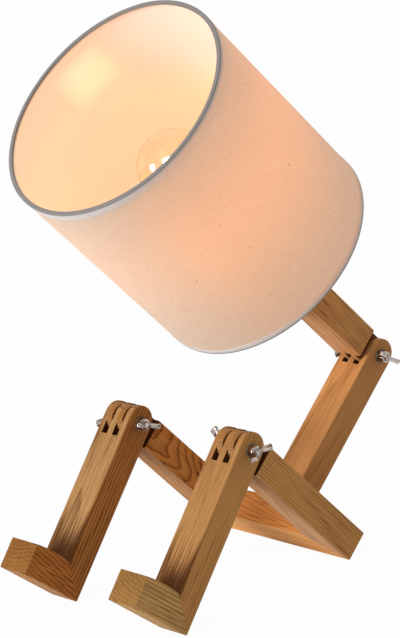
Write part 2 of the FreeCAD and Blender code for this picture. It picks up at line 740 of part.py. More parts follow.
def make_spider():
    """The flat hub on the lampholder and its arms, which meet the rear ring."""
    hub_r = holder_flange_d / 2 + SPIDER_HUB_RIM
    bore = SKIRT_D / 2 + THREAD_PLAY + SPIDER_HUB_PLAY
    hub = turned([(bore, flange_front), (hub_r, flange_front), (hub_r, collar_start), (bore, collar_start)])
    collar_room = rod(collar_d + 2 * COLLAR_ROOM, Y_AXIS * collar_start, Y_AXIS * skirt_end)
    return hub.fuse(spider_arms()).cut(rim_wire(0)).cut(collar_room)


def globe_profile(shrink):
    """Radii and centres of the glass: a globe and the curve into its neck."""
    globe_r = GLOBE_D / 2
    flare = 2 * math.atan((globe_r - glass_neck_d / 2) / GLASS_NECK_L)
    flare_r = GLASS_NECK_L / math.sin(flare) - globe_r
    flare_x = glass_neck_d / 2 + flare_r
    meet = Vector(math.cos(flare), -math.sin(flare), 0)
    radius = globe_r - shrink
    sweep = flare_r + shrink
    neck = (flare_x - sweep, cap_end)
    neck_mid = (flare_x - sweep * math.cos(flare / 2), cap_end + sweep * math.sin(flare / 2))
    join = (radius * meet.x, globe_centre + radius * meet.y)
    side_angle = (math.pi / 2 - flare) / 2
    side = (radius * math.cos(side_angle), globe_centre + radius * math.sin(side_angle))
    top = (0.0, globe_centre + radius)
    return neck, neck_mid, join, side, top


def make_bulb_glass():
    """The clear globe with an even wall, open towards its cap."""
    neck, neck_mid, join, side, top = globe_profile(0)
    in_neck, in_mid, in_join, in_side, in_top = globe_profile(GLASS_T)
    return turned([neck, neck_mid + join, side + top, in_top, in_side + in_join, in_mid + in_neck])


def make_bulb_cap():
    """The screw cap, a thin metal sleeve that meets the glass and the insulator."""
    outer = CAP_D / 2
    inner = outer - CAP_WALL
    return turned([(inner, cap_start), (outer, cap_start), (outer, cap_end), (inner, cap_end)])


def make_bulb_base():
    """The insulator below the cap, with its centre button."""
    rim = CAP_D / 2
    button = CAP_BUTTON_D / 2
    slope = cap_start - CAP_INSULATOR_SLOPE
    return turned([(0, button_tip), (button - CAP_BUTTON_EASE, button_tip),
                   (button, button_tip + CAP_BUTTON_EASE), (button, button_tip + CAP_BUTTON_L),
                   (rim - CAP_INSULATOR_SLOPE, slope), (rim - THREAD_PLAY, cap_start), (0, cap_start)])


def make_filament_stem():
    """The glass foot inside the bulb: a flare on the neck and a thin post."""
    flare_r = glass_neck_d / 2 - GLASS_T - STEM_PLAY
    post = STEM_D / 2
    foot = cap_end - STEM_FOOT_L
    flare_top = cap_end + STEM_FLARE_L
    top = globe_centre - STEM_SHORT
    return turned([(0, foot), (flare_r, foot), (flare_r, cap_end + STEM_RIM_T),
                   (post + STEM_FLARE_BOW, cap_end + STEM_FOOT_L, post, flare_top), (post, top), (0, top)])


def make_filament():
    """Two lead wires up from the post and the coil between their tips."""
    half = FILAMENT_SPAN / 2
    foot = globe_centre - STEM_SHORT
    tip = globe_centre + FILAMENT_AHEAD
    solids = []
    for sign in SIDES.values():
        solids.append(rod(LEAD_D, Vector(sign * LEAD_ROOT, foot, 0), Vector(sign * half, tip, 0)))
    ends = Vector(-half, tip, 0), Vector(0, tip + FILAMENT_RISE, 0), Vector(half, tip, 0)
    arc = Part.Arc(*ends)
    section = Part.Wire(Part.makeCircle(FILAMENT_D / 2, ends[0], arc.tangent(arc.FirstParameter)[0]))
    coil = Part.Wire(arc.toShape()).makePipeShell([section], True, False)
    return coil.fuse(solids).cut(make_filament_stem())


def add(name, shape):
    """Keep one named piece and write nothing that isn't closed and valid."""
    if not shape.isValid():
        raise ValueError("not valid: " + name)
    nodes[name] = shape


# Root: the U, the post and the neck joint's bolt, which stays with the post
for side, sign in SIDES.items():
    add(side + "_thigh", at(make_thigh(side), thigh_turn, knee, sign * knee_x))
add("seat_crossbar", at(make_seat(), thigh_turn, knee))
add("seat_dowels", at(make_seat_dowels(), thigh_turn, knee))
add("torso_post", at(make_torso(), torso_turn, neck_pivot))
add("torso_dowels", at(torso_dowel_room(0, 0), torso_turn, neck_pivot))

# Legs
for side, sign in SIDES.items():
    add(side + "_shin", at(make_shin(), shin_turn, knee, sign * knee_x))
    add(side + "_foot", at(make_foot(), shin_turn, knee, sign * knee_x))
    add(side + "_foot_dowel", at(foot_dowel_room(0, 0), shin_turn, knee, sign * knee_x))

# Bolts, washers and wing nuts, turned as they were left
clamps = (("left_knee", knee_x, knee), ("right_knee", -knee_x, knee), ("neck", 0.0, neck_pivot))
for joint, x, pivot in clamps:
    add(joint + "_bolt", at(make_wing_bolt(BOLT_TURNS[joint]), 0, pivot, x))
    add(joint + "_washers", at(make_washers(), 0, pivot, x))
    add(joint + "_wing_nut", at(make_wing_nut(NUT_TURNS[joint]), 0, pivot, x))

# Head
head_pieces = {
    "neck_block": make_neck(), "cable_grommet": make_grommet(), "threaded_nipple": make_nipple(),
    "nipple_locknut": make_locknut(), "holder_cap": make_holder_cap(), "holder_skirt": make_holder_skirt(),
    "screw_shell": make_screw_shell(), "contact_block": make_contact_block(),
    "centre_contact": make_centre_contact(), "terminal_screws": make_terminal_screws(),
    "shade_collar": make_shade_collar(), "shade_spider": make_spider(), "shade_rear_ring": rim_wire(0),
    "shade_front_ring": rim_wire(SHADE_L), "shade_skin": make_shade_skin(),
    "shade_rear_trim": make_rear_trim(), "shade_front_trim": make_trim(SHADE_L),
    "bulb_glass": make_bulb_glass(), "bulb_cap": make_bulb_cap(), "bulb_base": make_bulb_base(),
    "filament_stem": make_filament_stem(), "filament": make_filament(),
}
for name, shape in head_pieces.items():
    add(name, at(shape, neck_turn, neck_pivot))

os.makedirs("parts", exist_ok=True)
for name, shape in nodes.items():
    shape.exportStep("parts/" + name + ".step")

print("knee", knee, "neck", neck_pivot, "shin lean", round(shin_lean, 2), "globe", round(globe_centre, 1))
print(len(nodes), "nodes")
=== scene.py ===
import json
import math

import bpy
from mathutils import Matrix, Vector


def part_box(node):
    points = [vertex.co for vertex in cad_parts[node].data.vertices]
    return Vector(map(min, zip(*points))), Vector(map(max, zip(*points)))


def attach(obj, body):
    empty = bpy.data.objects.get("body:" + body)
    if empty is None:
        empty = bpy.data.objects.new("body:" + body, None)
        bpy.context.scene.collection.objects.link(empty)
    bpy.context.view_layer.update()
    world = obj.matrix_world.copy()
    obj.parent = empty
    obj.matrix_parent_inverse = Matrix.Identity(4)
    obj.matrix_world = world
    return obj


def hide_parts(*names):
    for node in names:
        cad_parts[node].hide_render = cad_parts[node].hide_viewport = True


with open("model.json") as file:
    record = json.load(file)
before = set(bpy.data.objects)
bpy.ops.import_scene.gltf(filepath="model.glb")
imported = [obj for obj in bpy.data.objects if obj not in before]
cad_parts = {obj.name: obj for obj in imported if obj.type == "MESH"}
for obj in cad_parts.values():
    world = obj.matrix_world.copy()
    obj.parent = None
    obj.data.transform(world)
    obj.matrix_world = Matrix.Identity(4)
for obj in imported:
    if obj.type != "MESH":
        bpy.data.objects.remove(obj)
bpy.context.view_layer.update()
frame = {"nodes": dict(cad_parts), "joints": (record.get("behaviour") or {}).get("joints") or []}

# The two thighs of the seated figure are bars of oiled softwood, sawn square,
# eased by a light sanding and mitred to the seat bar. Their knee ends are cut
# into tongues, so end grain shows between the fingers of the shins.
MM = 0.001
BAR_W = 23.3
BAR_D = 19.5
THIGH_TILT = math.radians(48.5)
ARRIS = 0.22
ACROSS = Vector((1, 0, 0))
JOINT = {joint["name"]: Vector(joint["pos_m"]) for joint in frame["joints"]}
THIGH_WAY = Vector((0, math.cos(THIGH_TILT), -math.sin(THIGH_TILT)))
THIGH_UP = Vector((0, math.sin(THIGH_TILT), math.cos(THIGH_TILT)))


def ink(red, green, blue):
    """A colour given as it looks on a page, 0 to 255."""
    def linear(part):
        part /= 255
        return part / 12.92 if part <= 0.04045 else ((part + 0.055) / 1.055) ** 2.4
    return (linear(red), linear(green), linear(blue), 1.0)


def axes(origin, across, along):
    """A piece's own frame: X across, Y along, and Z out of its face."""
    turn = Matrix((across, along, across.cross(along))).transposed().to_4x4()
    return Matrix.Translation(origin) @ turn


class Value:
    """One output of a finish's nodes, so that a pattern is written as a sum."""

    def __init__(self, paint, socket):
        self.paint = paint
        self.socket = socket

    def maths(self, operation, *others):
        return self.paint.node("ShaderNodeMath", {"operation": operation},
                               dict(enumerate((self, *others))))

    def __add__(self, other):
        return self.maths("ADD", other)

    __radd__ = __add__

    def __sub__(self, other):
        return self.maths("SUBTRACT", other)

    def __rsub__(self, other):
        return self.after("SUBTRACT", other)

    def __mul__(self, other):
        return self.maths("MULTIPLY", other)

    __rmul__ = __mul__

    def __truediv__(self, other):
        return self.maths("DIVIDE", other)

    def __rtruediv__(self, other):
        return self.after("DIVIDE", other)

    def __pow__(self, other):
        return self.maths("POWER", other)

    def __rpow__(self, other):
        return self.after("POWER", other)

    def after(self, operation, other):
        """The same with the other value first."""
        return self.paint.node("ShaderNodeMath", {"operation": operation}, {0: other, 1: self})

    def between(self, low, high):
        """0 below low, 1 above high, and a soft step in between."""
        return self.paint.node("ShaderNodeMapRange", {"interpolation_type": "SMOOTHSTEP"},
                               {"Value": self, "From Min": low, "From Max": high})

    def kept(self):
        """No less than 0 and no more than 1."""
        return self.maths("MAXIMUM", 0.0).maths("MINIMUM", 1.0)


class Nodes:
    """A tree of nodes, with one method for every kind of them."""

    def __init__(self, tree):
        self.tree = tree

    def feed(self, node, inputs):
        for name, value in inputs.items():
            if isinstance(value, Value):
                self.tree.links.new(value.socket, node.inputs[name])
            else:
                node.inputs[name].default_value = value

    def node(self, kind, settings=None, inputs=None, output=0):
        node = self.tree.nodes.new(kind)
        for name, value in (settings or {}).items():
            if name == "stops":
                for place, grey in value[1:-1]:
                    node.color_ramp.elements.new(place).color = (grey, grey, grey, 1)
                for index in (0, -1):
                    node.color_ramp.elements[index].position = value[index][0]
                    node.color_ramp.elements[index].color = (value[index][1],) * 3 + (1,)
            else:
                setattr(node, name, value)
        self.feed(node, inputs or {})
        return Value(self, node.outputs[output])

    def mix(self, factor, first, second, how="MIX"):
        """Two colours through one Mix node."""
        return self.node("ShaderNodeMix", {"data_type": "RGBA", "blend_type": how},
                         {0: factor, 6: first, 7: second}, 2)

    def tint(self, factor, colour, by):
        """A colour multiplied by another, as far as the factor says."""
        return self.mix(factor, colour, self.mix(1.0, colour, by, "MULTIPLY"))

    def stretch(self, place, *scales):
        """A point scaled along its three axes."""
        return self.node("ShaderNodeVectorMath", {"operation": "MULTIPLY"}, {0: place, 1: scales})

    def cloud(self, place, scale=1.0, detail=2.0, rough=0.5):
        """Soft noise about 0."""
        noise = self.node("ShaderNodeTexNoise", {}, {"Vector": place, "Scale": scale, "Detail": detail,
                                                     "Roughness": rough})
        return noise - 0.5

    def parts(self, vector):
        """The three numbers of a point."""
        split = self.node("ShaderNodeSeparateXYZ", {}, {0: vector}).socket.node
        return [Value(self, output) for output in split.outputs]


class Paint(Nodes):
    """A finish: one material, its shader, and its pattern's place on the piece."""

    def __init__(self, name, **constants):
        self.material = bpy.data.materials.new(name)
        self.material.use_nodes = True
        super().__init__(self.material.node_tree)
        self.shader = next(node for node in self.tree.nodes if node.type == "BSDF_PRINCIPLED")
        self.spot = self.node("ShaderNodeTexCoord", output="Object")
        self.set(**constants)

    def set(self, **inputs):
        """Values or links for the shader, with its sockets' names in lower case."""
        self.feed(self.shader, {name.replace("_", " ").title().replace("Ior", "IOR"): value
                                for name, value in inputs.items()})

    def local(self, place):
        """The point in a piece's own frame."""
        return self.node("ShaderNodeMapping", {"vector_type": "TEXTURE"},
                         {"Vector": self.spot, "Location": place.translation, "Rotation": place.to_euler()})

    def mark(self, name):
        """A number kept with the mesh's corners."""
        return self.node("ShaderNodeAttribute", {"attribute_name": name}, output="Fac")

    def bump(self, height, distance, strength=1.0):
        self.set(normal=self.node("ShaderNodeBump", {}, {"Height": height, "Distance": distance,
                                                         "Strength": strength}))


# How dark one year's growth is across its width, from early wood to late wood
YEAR = ((0.0, 0.0), (0.30, 0.05), (0.62, 0.30), (0.84, 0.86), (0.93, 1.0), (0.985, 0.35), (1.0, 0.0))
END_TINT = (0.77, 0.70, 0.58, 1)
# Painted shade for the walls and floors of the joints' slots
SLOT_SHADE = (0.13, 0.06, 0.03, 1)
# Painted shade on the shins' fronts above the feet
HEEL_SHADE_INK = ink(96, 55, 24)


def wood(name, bar, early, late, pith, ring=2.2, lean=(0.0, 0.0), wave=1.0, streak=1.0, rings=0.62,
         flank=(255, 255, 255), stain=None):
    """Oiled softwood: growth rings about a pith line, fibres along the grain, darker end grain, and painted
    shade on the walls and floors of its slots.

    Pith and ring are in millimetres in the bar's own frame, and lean tilts the pith along the grain.
    Wave bends the rings, streak and rings are how strongly fibres and rings show, flank tints the
    side faces, and the last argument says where along the bar its front is painted darker, as shade in the
    corner above the foot.
    """
    paint = Paint(name)
    point = paint.local(bar)
    x, y, z = paint.parts(point)
    sway = paint.cloud(paint.stretch(point, 50, 12, 50), detail=2.0)
    grain = paint.cloud(paint.stretch(point, 760, 24, 760), detail=3.0, rough=0.62)
    fibre = paint.cloud(paint.stretch(point, 2400, 55, 2400), detail=2.0)
    thin = paint.cloud(paint.stretch(point, 1500, 44, 1500), detail=2.0, rough=0.6)
    patch = paint.cloud(paint.stretch(point, 60, 10, 60), detail=1.0)
    off_x = x - pith[0] * MM + y * lean[0]
    off_z = z - pith[1] * MM + y * lean[1]
    radius = (off_x * off_x + off_z * off_z) ** 0.5 + sway * (3.4 * wave * MM) + fibre * (0.25 * MM)
    year = (radius / (ring * MM) + patch * 1.2).maths("FRACT")
    lines = paint.node("ShaderNodeValToRGB", {"stops": YEAR}, {0: year})
    lines = paint.node("ShaderNodeSeparateColor", {}, {0: lines})
    cut = paint.mark("end_grain").between(0.45, 0.95)
    year_lines = lines * (paint.mark("flank") * 0.35 + 0.9) * (1.0 - cut * 0.2) * rings
    streaks = grain * (1.1 * streak) + thin * (1.2 * streak) + fibre * (0.7 * streak)
    share = (year_lines + streaks + patch * 0.7 + 0.10).kept()
    colour = paint.mix(share, early, late)
    dash = thin.between(0.06, 0.24) * grain.between(-0.04, 0.12)
    colour = paint.tint(dash * (0.5 * streak), colour, late)
    colour = paint.tint(paint.mark("flank").between(0.5, 0.9), colour, ink(*flank))
    # Painted shade: the front darkens in streaks along the grain over a stretch above the foot, where the
    # foot shades the corner.
    if stain:
        low = (y + grain * 0.07 + thin * 0.03 + sway * 0.03).between(*stain)
        front = (z * -1.0).between((BAR_D / 2 - 3) * MM, (BAR_D / 2 - 1) * MM)
        colour = paint.mix(low * front * 0.88, colour, HEEL_SHADE_INK)
    pore = paint.cloud(paint.stretch(point, 2600, 400, 2600), detail=2.0)
    colour = paint.tint(cut, colour, END_TINT)
    colour = paint.tint(cut * pore.between(0.0, 0.25) * 0.3, colour, late)
    # Painted shade: the walls and floors of the slots are darkened.
    colour = paint.tint(paint.mark("slot") * 0.9, colour, SLOT_SHADE)
    paint.set(base_color=colour, roughness=grain * 0.25 + cut * 0.14 + 0.50, specular_ior_level=0.05)
    paint.bump(grain * 0.6 + fibre * 0.6 - lines * 0.35, 0.10 * MM, 0.6)
    return paint


def only(piece):
    """Select one piece and nothing else."""
    bpy.ops.object.select_all(action="DESELECT")
    piece.select_set(True)
    bpy.context.view_layer.objects.active = piece


def finished(piece, name, paint, body, stands_for=(), soft=40):
    """Name a modelled piece, give it its finish and put it on its body."""
    only(piece)
    bpy.ops.object.transform_apply(location=True, rotation=True, scale=True)
    bpy.ops.object.shade_smooth_by_angle(angle=math.radians(soft))
    piece.name = name
    piece.data.name = name
    piece.data.materials.clear()
    piece.data.materials.append(paint.material)
    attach(piece, body)
    if stands_for:
        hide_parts(*stands_for)
    return piece


def eased(node, name, paint, body, width=ARRIS, soft=32):
    """The piece with its sharp arrises taken off, in the plain one's place."""
    piece = bpy.data.objects.new(name, frame["nodes"][node].data.copy())
    bpy.context.collection.objects.link(piece)
    only(piece)
    bpy.ops.object.mode_set(mode="EDIT")
    bpy.ops.mesh.select_all(action="SELECT")
    bpy.ops.mesh.remove_doubles(threshold=0.002 * MM)
    bpy.ops.mesh.normals_make_consistent(inside=False)
    bpy.ops.mesh.customdata_custom_splitnormals_clear()
    bpy.ops.mesh.dissolve_limited(angle_limit=math.radians(0.6))
    bpy.ops.object.mode_set(mode="OBJECT")
    arris = piece.modifiers.new("arris", "BEVEL")
    arris.width = width * MM
    arris.segments = 2
    arris.angle_limit = math.radians(50)
    bpy.ops.object.modifier_apply(modifier="arris")
    return finished(piece, name, paint, body, [node], soft)


KNUCKLE_REACH = 24
SLOT_FLOOR = 9


def sawn(node, bar, body, early, late, **grain):
    """A wooden piece: its own tree, and marks on its end grain, its flanks, and the walls and floors of its
    slots, where shade is painted.
    """
    piece = eased(node, node + "_sanded", wood(node + "_wood", bar, early, late, **grain), body)
    home = bar.inverted()
    turn = home.to_3x3()
    has_slots = "foot" not in node and "seat" not in node
    marks = {"end_grain": [], "flank": [], "slot": []}
    for corner, normal in zip(piece.data.loops, piece.data.corner_normals):
        spot = home @ piece.data.vertices[corner.vertex_index].co / MM
        way = turn @ normal.vector
        wall = abs(way.x) > 0.9 and abs(spot.x) < BAR_W / 2 - 1
        floor = abs(way.x) < 0.5 and way.y < -0.3 and spot.y > SLOT_FLOOR
        marks["end_grain"].append(abs(way.y))
        marks["flank"].append(abs(way.x))
        marks["slot"].append(float(has_slots and spot.yz.length < KNUCKLE_REACH and (wall or floor)))
    for name, values in marks.items():
        piece.data.attributes.new(name, "FLOAT", "CORNER").data.foreach_set("value", values)


sawn("left_thigh", axes(JOINT["left_knee"], ACROSS, THIGH_WAY), "pelvis",
     ink(203, 153, 102), ink(156, 104, 60),
     pith=(5, -74), ring=1.9, wave=0.5, rings=0.55, flank=(250, 243, 218))
sawn("right_thigh", axes(JOINT["right_knee"], ACROSS, THIGH_WAY), "pelvis",
     ink(206, 152, 98), ink(122, 70, 32),
     pith=(-26, 6), ring=1.7, lean=(0.12, 0.20), wave=1.7, rings=0.62, flank=(246, 222, 182))

# The seat bar is the back of the U, mitred to both thighs with its grain
# running across the figure. Its colours are painted lighter than the other bars',
# as painted light where it shows between the legs.
seat_low, seat_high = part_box("seat_crossbar")
seat_middle = (seat_low + seat_high) / 2
sawn("seat_crossbar", axes(seat_middle, -THIGH_WAY, ACROSS), "pelvis",
     ink(240, 184, 116), ink(192, 122, 66),
     pith=(34, 22), ring=2.2, lean=(0.10, 0.03), wave=1.8, rings=0.42, flank=(244, 216, 190))

# The post stands square on the seat bar and ends in the outer fingers of the
# neck joint. Its front face is the warmest of all the bars.
sawn("torso_post", axes(JOINT["neck_tilt"], ACROSS, -THIGH_UP), "pelvis",
     ink(230, 167, 104), ink(184, 125, 72),
     pith=(4, 92), ring=1.8, wave=0.5, rings=0.55, flank=(214, 212, 206))

# Each shin is one bar that leans forwards from the knee to the heel, with the
# three outer fingers of the knee joint at its top and a mitre at its foot.
SHIN_LEAN = math.radians(40.23)
SHIN_L = 114.5
SHIN_WAY = Vector((0, -math.sin(SHIN_LEAN), -math.cos(SHIN_LEAN)))
SHIN_FRONT = SHIN_WAY.cross(ACROSS)
# The stretch of each shin's front that is painted darker, as shade above the foot
HEEL_SHADE = (57 * MM, 82 * MM)

sawn("left_shin", axes(JOINT["left_knee"], ACROSS, SHIN_WAY), "left_leg",
     ink(194, 143, 88), ink(134, 84, 42),
     pith=(-12, 36), ring=2.3, wave=1.3, streak=0.7, rings=0.24, flank=(253, 250, 236),
     stain=HEEL_SHADE)
sawn("right_shin", axes(JOINT["right_knee"], ACROSS, SHIN_WAY), "right_leg",
     ink(196, 150, 98), ink(120, 78, 40),
     pith=(-3, 60), ring=2.4, wave=0.8, rings=0.72, flank=(238, 210, 172), stain=HEEL_SHADE)

# A foot is a short offcut of the same bar, its top slightly crowned, glued to
# the shin at a mitre. Its grain runs from heel to toe, so the toe is end grain.
sawn("left_foot", axes(JOINT["left_knee"] + SHIN_WAY * SHIN_L * MM, ACROSS, SHIN_FRONT), "left_leg",
     ink(198, 154, 96), ink(128, 88, 44), pith=(14, -62), ring=2.4, wave=0.3, rings=0.5)
sawn("right_foot", axes(JOINT["right_knee"] + SHIN_WAY * SHIN_L * MM, ACROSS, SHIN_FRONT), "right_leg",
     ink(192, 138, 80), ink(120, 66, 30), pith=(-12, -58), ring=2.4, lean=(0.0, 0.22), wave=0.9, rings=0.52,
     flank=(244, 221, 188))

# Turned beech dowels pin the mitres of seat and feet and hold the post on the
# seat bar. Only their ends could show, where a drill came through.
dowel_look = wood("dowel_wood", axes(seat_middle, ACROSS, THIGH_WAY), ink(214, 176, 128), ink(186, 142, 92),
                  pith=(3, 1), ring=0.9, wave=0.3)


def plain(paint, *nodes):
    """Pieces whose shape needs nothing more get their finish."""
    for node in nodes:
        piece = frame["nodes"][node]
        piece.data.materials.clear()
        piece.data.materials.append(paint.material)


plain(dowel_look, "seat_dowels", "torso_dowels", "left_foot_dowel", "right_foot_dowel")

# The neck is the third kind of bar: tongues at the joint, and bored from the
# other end for the cable and for the threaded tube that carries the lamp.
NECK_TILT = math.radians(48.2)
NECK_WAY = Vector((0, -math.cos(NECK_TILT), math.sin(NECK_TILT)))
NECK_BACK = NECK_WAY.cross(ACROSS)
sawn("neck_block", axes(JOINT["neck_tilt"], ACROSS, NECK_WAY), "head", ink(221, 162, 106), ink(132, 78, 36),
     pith=(3, 122), ring=1.4, wave=0.3, rings=0.78, flank=(240, 236, 216))

# Wing bolts are forged, ground and bright nickel plated. A tapered hub carries
# two flat ears that lean outwards, and each bolt has a washer at both ends.
HUB_H = 4.6
HUB_SEAT = 0.03
BOLT_R = 2.0
BOLT_TAIL = 1.6
WASHER_T = 0.8
WASHER_R = 4.5
EAR_LEAN = math.radians(46.6)
THREAD_PITCH = 0.7
THREAD_DEPTH = 0.22
SEAT_OUT = BAR_W / 2 + WASHER_T


def metal(name, bright, dull, rough=0.16, scale=260, waves=0.08):
    """Plated or bare metal, mottled by noise between a bright and a dull colour: an uneven polish, which on
    the nickel and the washers is strong painted reflection; faint waves from the forging.
    """
    paint = Paint(name, metallic=1.0)
    polish_and_reflection = paint.cloud(paint.spot, scale, 3.0)
    paint.set(base_color=paint.mix((polish_and_reflection + 0.5).between(0.35, 0.75), bright, dull),
              roughness=polish_and_reflection * 0.12 + rough)
    paint.bump(paint.cloud(paint.spot, scale * 1.6, 2.0), waves * MM, 0.6)
    return paint


# The nickel's dark mottle is painted reflection of dark surroundings.
nickel = metal("bright_nickel", ink(196, 182, 174), ink(62, 53, 48), 0.12, 340, 0.45)


def lathe(profile, steps=96):
    """A body of revolution about Z: a profile of (radius, height) drawn point by point and spun."""
    bpy.ops.object.select_all(action="DESELECT")
    bpy.ops.mesh.primitive_plane_add(size=MM)
    piece = bpy.context.active_object
    bpy.ops.object.mode_set(mode="EDIT")
    bpy.ops.mesh.merge(type="CENTER")
    bpy.ops.transform.translate(value=(profile[0][0] * MM, 0, profile[0][1] * MM))
    for start, end in zip(profile, profile[1:]):
        bpy.ops.mesh.extrude_region_move(TRANSFORM_OT_translate={
            "value": ((end[0] - start[0]) * MM, 0, (end[1] - start[1]) * MM)})
    bpy.ops.mesh.select_all(action="SELECT")
    bpy.ops.mesh.spin(steps=steps, angle=2 * math.pi, center=(0, 0, 0), axis=(0, 0, 1))
    bpy.ops.mesh.select_all(action="SELECT")
    bpy.ops.mesh.remove_doubles(threshold=0.004 * MM)
    bpy.ops.mesh.delete_loose()
    bpy.ops.mesh.select_all(action="SELECT")
    bpy.ops.mesh.normals_make_consistent(inside=False)
    bpy.ops.object.mode_set(mode="OBJECT")
    return piece


def arc(centre, radius, start, end, count):
    """Points of a profile round a centre, by angles in degrees."""
    turns = [math.radians(start + (end - start) * k / count) for k in range(count + 1)]
    return [(centre[0] + radius * math.cos(turn), centre[1] + radius * math.sin(turn)) for turn in turns]


def straight(start, end, count):
    """Points of a profile along a line, without its last."""
    return [(start[0] + (end[0] - start[0]) * k / count, start[1] + (end[1] - start[1]) * k / count)
            for k in range(count)]


def thread(piece, low, high, pitch, depth, sharp=1.0):
    """Push the wall between two heights inwards along one helix."""
    for vertex in piece.data.vertices:
        x, y, height = vertex.co.x, vertex.co.y, vertex.co.z / MM
        radius = math.hypot(x, y) / MM
        if low < height < high and radius > depth:
            fade = min(1.0, (height - low) / pitch, (high - height) / pitch)
            turn = height / pitch + math.atan2(y, x) / (2 * math.pi)
            wave = (0.5 - 0.5 * math.cos(2 * math.pi * turn)) ** sharp
            vertex.co.x *= 1 - depth * fade * wave / radius
            vertex.co.y *= 1 - depth * fade * wave / radius


def joined(body, *others):
    """Closed shapes made one by union."""
    for other in others:
        only(body)
        union = body.modifiers.new("union", "BOOLEAN")
        union.object = other
        union.operation = "UNION"
        bpy.ops.object.modifier_apply(modifier="union")
        bpy.data.objects.remove(other)
    return body


def put(piece, place):
    """Move a modelled piece and keep the move in its mesh."""
    piece.matrix_world = place
    only(piece)
    bpy.ops.object.transform_apply(location=True, rotation=True, scale=True)
    return piece


def twin(piece):
    """A second one, with its own mesh."""
    copy = piece.copy()
    copy.data = piece.data.copy()
    bpy.context.collection.objects.link(copy)
    return copy


# Each pull of an ear: its length, and how much wider and thicker it leaves the ear
EAR_ROOT = 1.6
EAR_PULLS = ((1.6, 1.0, 1.0), (2.2, 1.06, 0.84), (2.6, 1.12, 0.98), (2.7, 1.08, 1.14), (1.1, 0.94, 0.97))


def wing_ear():
    """One ear: a flat tongue drawn out in pulls, blunt at its tip, that leans out along X."""
    bpy.ops.object.select_all(action="DESELECT")
    bpy.ops.mesh.primitive_plane_add(size=MM, location=(0, 0, -EAR_ROOT * MM))
    piece = bpy.context.active_object
    piece.scale = (3.9, 3.1, 1)
    bpy.ops.object.transform_apply(location=True, rotation=True, scale=True)
    bpy.ops.object.mode_set(mode="EDIT")
    height = -EAR_ROOT
    for rise, wide, thick in EAR_PULLS:
        height += rise
        bpy.ops.mesh.extrude_region_move(TRANSFORM_OT_translate={"value": (0, 0, rise * MM)})
        bpy.ops.transform.resize(value=(wide, thick, 1), center_override=(0, 0, height * MM))
    bpy.ops.mesh.select_all(action="SELECT")
    bpy.ops.mesh.normals_make_consistent(inside=False)
    bpy.ops.object.mode_set(mode="OBJECT")
    corner = piece.modifiers.new("corner", "BEVEL")
    corner.width = 0.55 * MM
    corner.segments = 2
    corner.angle_limit = math.radians(40)
    bpy.ops.object.modifier_apply(modifier="corner")
    ground = piece.modifiers.new("ground", "SUBSURF")
    ground.levels = ground.render_levels = 1
    bpy.ops.object.modifier_apply(modifier="ground")
    lean = Matrix.Rotation(EAR_LEAN, 4, "Y")
    return put(piece, Matrix.Translation(Vector((2.0, 0, 2.8)) * MM) @ lean)


def wing_head(bore):
    """Hub and two ears on the Z axis, with its seat at height 0."""
    inside = [(0, HUB_H), (0, HUB_SEAT)]
    if bore:
        inside = [(bore, HUB_H - 0.35), (bore, 0.3), (bore + 0.3, HUB_SEAT)]
    hub = lathe([(3.7, HUB_SEAT), (4.0, 0.3), (3.75, 2.4), (3.5, HUB_H - 0.45), (3.2, HUB_H - 0.12),
                 (bore + 0.35, HUB_H)] + inside + [(3.7, HUB_SEAT)], 48)
    first = wing_ear()
    second = put(twin(first), Matrix.Rotation(math.pi, 4, "Z"))
    return joined(hub, first, second)


def outwards(centre, turn, way):
    """The frame of a wing head: Z out of the joint's side, X along its first ear."""
    ear = Vector((0, math.cos(math.radians(turn)), math.sin(math.radians(turn))))
    return axes(centre + ACROSS * way * SEAT_OUT * MM, ear, (ACROSS * way).cross(ear))


BOLTS = {"left_knee": (JOINT["left_knee"], "left_leg", 82),
         "right_knee": (JOINT["right_knee"], "right_leg", 27),
         "neck": (JOINT["neck_tilt"], "pelvis", 10)}
SHANK_START = -1.5
THREAD_START = 18
BOLT_EASE = 0.45
shank_end = 2 * SEAT_OUT + HUB_H + BOLT_TAIL
shank_rows = (straight((BOLT_R, SHANK_START), (BOLT_R, THREAD_START), 30)
              + straight((BOLT_R, THREAD_START), (BOLT_R, shank_end - BOLT_EASE), 100))
shank = lathe([(0, SHANK_START)] + shank_rows + [
    (BOLT_R, shank_end - BOLT_EASE), (BOLT_R - BOLT_EASE, shank_end), (0, shank_end)], 40)
thread(shank, THREAD_START, shank_end - 0.2, THREAD_PITCH, THREAD_DEPTH)
bolt = joined(wing_head(0), put(shank, Matrix.Rotation(math.pi, 4, "X")))
# Painted shade: the washers' steel is painted darker, as the shade that lies round the hubs, and mottled as
# painted reflection.
washer_steel = metal("washer_steel", ink(132, 122, 115), ink(46, 40, 36), 0.22, 340, 0.25)
ring = lathe([(2.35, 0), (WASHER_R - 0.25, 0), (WASHER_R, 0.2), (WASHER_R, 0.55),
              (WASHER_R - 0.2, WASHER_T), (2.3, WASHER_T), (2.2, 0.6), (2.2, 0.1), (2.35, 0)], 64)
for clamp, (centre, body, turn) in BOLTS.items():
    finished(put(twin(bolt), outwards(centre, turn, -1)), clamp + "_wing_bolt", nickel, body,
             [clamp + "_bolt"], 35)
    for side, way in (("outer", 1), ("inner", -1)):
        washer = put(twin(ring), outwards(centre - ACROSS * way * WASHER_T * MM, turn, way))
        finished(washer, clamp + "_washer_" + side, washer_steel, body,
                 [clamp + "_washers"], 35)
bpy.data.objects.remove(bolt)
bpy.data.objects.remove(ring)

# A wing nut runs on each bolt's thread outside the +X washer, of the same
# pattern as the bolts' heads but bored through. Each was left as it stopped.
NUTS = {"left_knee": 12, "right_knee": -20, "neck": -35}
nut = wing_head(BOLT_R + 0.08)
for clamp, turn in NUTS.items():
    finished(put(twin(nut), outwards(BOLTS[clamp][0], turn, 1)), clamp + "_nut", nickel, clamp + "_nut",
             [clamp + "_wing_nut"], 35)
bpy.data.objects.remove(nut)

